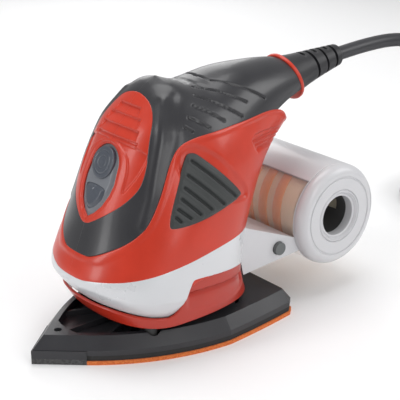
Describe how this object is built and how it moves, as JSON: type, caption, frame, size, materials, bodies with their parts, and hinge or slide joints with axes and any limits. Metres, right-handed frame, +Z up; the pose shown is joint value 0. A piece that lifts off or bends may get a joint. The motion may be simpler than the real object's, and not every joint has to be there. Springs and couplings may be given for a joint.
{
  "type": "orbital sander",
  "caption": "Compact iron-base orbital sander with a tilted rear handle, rocker switch face, cyclone dust drum and mains lead with a coil and plug.",
  "frame": {"origin": "centre of the sanding face, on the motor axis", "axes": "+Z up out of the work, -Y towards the nose of the base, +X to the right seen from behind the tool"},
  "size_m": [0.1324, 0.4775, 0.1436],
  "materials": {
    "housing_red": "satin moulded",
    "boot_red": "satin moulded",
    "ring_red": "satin",
    "grip_rubber": "soft touch",
    "pad_rubber": "matte",
    "band_silver": "satin metallic paint",
    "bezel_plastic": "satin",
    "button_plastic": "satin",
    "guard_rubber": "matte",
    "platen_plastic": "fine texture",
    "foam_pad": "matte",
    "abrasive": "grit",
    "tip_abrasive": "grit",
    "clear_plastic": "clear moulded",
    "canister_silver": "satin metallic paint",
    "amber_plastic": "translucent amber",
    "filter_paper": "pleated paper",
    "frame_plastic": "moulded",
    "latch_plastic": "moulded",
    "seal_rubber": "matte",
    "switch_plastic": "moulded",
    "screw_steel": "zinc plated",
    "bearing_steel": "ground",
    "shaft_steel": "ground",
    "laminations": "stacked sheet",
    "copper": "enamelled wire",
    "brass": "bright",
    "carbon": "carbon",
    "spring_steel": "bright",
    "weight_metal": "cast zinc",
    "capacitor_film": "moulded box",
    "lead_insulation": "insulation",
    "leg_rubber": "matte",
    "cord_rubber": "matte",
    "plug_plastic": "matte"
  },
  "bodies": {
    "housing": {"housing_right": "housing_red", "housing_left": "housing_red", "boot": "boot_red", "guard_ring": "ring_red", "grip_right": "grip_rubber", "grip_left": "grip_rubber", "side_pad_right": "pad_rubber", "side_pad_left": "pad_rubber", "band_right": "band_silver", "band_left": "band_silver", "switch_bezel": "bezel_plastic", "cord_guard": "guard_rubber", "dust_duct": "frame_plastic", "bearing_plate": "frame_plastic", "switch_body": "switch_plastic", "cord_clamp": "switch_plastic", "housing_screws": "screw_steel", "clamp_screws": "screw_steel", "lower_bearing": "bearing_steel", "upper_bearing": "bearing_steel", "stator_core": "laminations", "field_coils": "copper", "brush_holders": "brass", "plug_pins": "brass", "carbon_brushes": "carbon", "brush_springs": "spring_steel", "capacitor": "capacitor_film", "internal_leads": "lead_insulation", "support_legs": "leg_rubber", "power_cord": "cord_rubber", "cord_coil": "cord_rubber", "cord_tail": "cord_rubber", "plug_body": "plug_plastic"},
    "rotor": {"armature_shaft": "shaft_steel", "armature_core": "laminations", "armature_windings": "copper", "commutator": "copper", "fan": "frame_plastic", "counterweight": "weight_metal"},
    "platen": {"platen": "platen_plastic", "orbit_bearing": "bearing_steel", "bearing_cover": "bearing_steel", "base_pad": "foam_pad", "sanding_sheet": "abrasive", "tip_plate": "platen_plastic", "tip_sheet": "tip_abrasive", "tip_screw": "screw_steel"},
    "on_button": {"on_button": "button_plastic"},
    "off_button": {"off_button": "button_plastic"},
    "rocker": {"switch_rocker": "switch_plastic"},
    "canister": {"canister_shell": "clear_plastic", "canister_neck": "canister_silver", "cyclone_vane": "amber_plastic", "neck_seal": "seal_rubber"},
    "cartridge": {"canister_cap": "canister_silver", "filter_frame": "frame_plastic", "filter_sleeve": "filter_paper"},
    "latch": {"latch_button": "latch_plastic"}
  },
  "joints": [
    {"name": "motor_spin", "type": "hinge", "parent": "housing", "child": "rotor", "pos_m": [0, 0, 0.05], "axis": [0, 0, 1], "continuous": true},
    {"name": "platen_orbit", "type": "hinge", "parent": "rotor", "child": "platen", "pos_m": [0, 0.001, 0.015], "axis": [0, 0, 1], "continuous": true},
    {"name": "on_button_press", "type": "slide", "parent": "housing", "child": "on_button", "axis": [0, 0.908, -0.4189], "range_m": [0, 0.002]},
    {"name": "off_button_press", "type": "slide", "parent": "housing", "child": "off_button", "axis": [0, 0.908, -0.4189], "range_m": [-0.002, 0]},
    {"name": "rocker_tilt", "type": "hinge", "parent": "housing", "child": "rocker", "pos_m": [0, -0.02068, 0.09092], "axis": [1, 0, 0], "range_deg": [-13, 13]},
    {"name": "canister_pull", "type": "slide", "parent": "housing", "child": "canister", "axis": [0, 1, 0], "range_m": [0, 0.045]},
    {"name": "cartridge_pull", "type": "slide", "parent": "canister", "child": "cartridge", "axis": [1, 0, 0], "range_m": [0, 0.06]},
    {"name": "latch_press", "type": "slide", "parent": "canister", "child": "latch", "axis": [-1, 0, 0], "range_m": [0, 0.002], "stiffness_N_per_m": 500}
  ],
  "couplings": [
    {"joint": "platen_orbit", "follows": "motor_spin", "ratio": -1},
    {"joint": "off_button_press", "follows": "on_button_press", "ratio": -1},
    {"joint": "rocker_tilt", "follows": "on_button_press", "rad_per_m": -106.38}
  ]
}
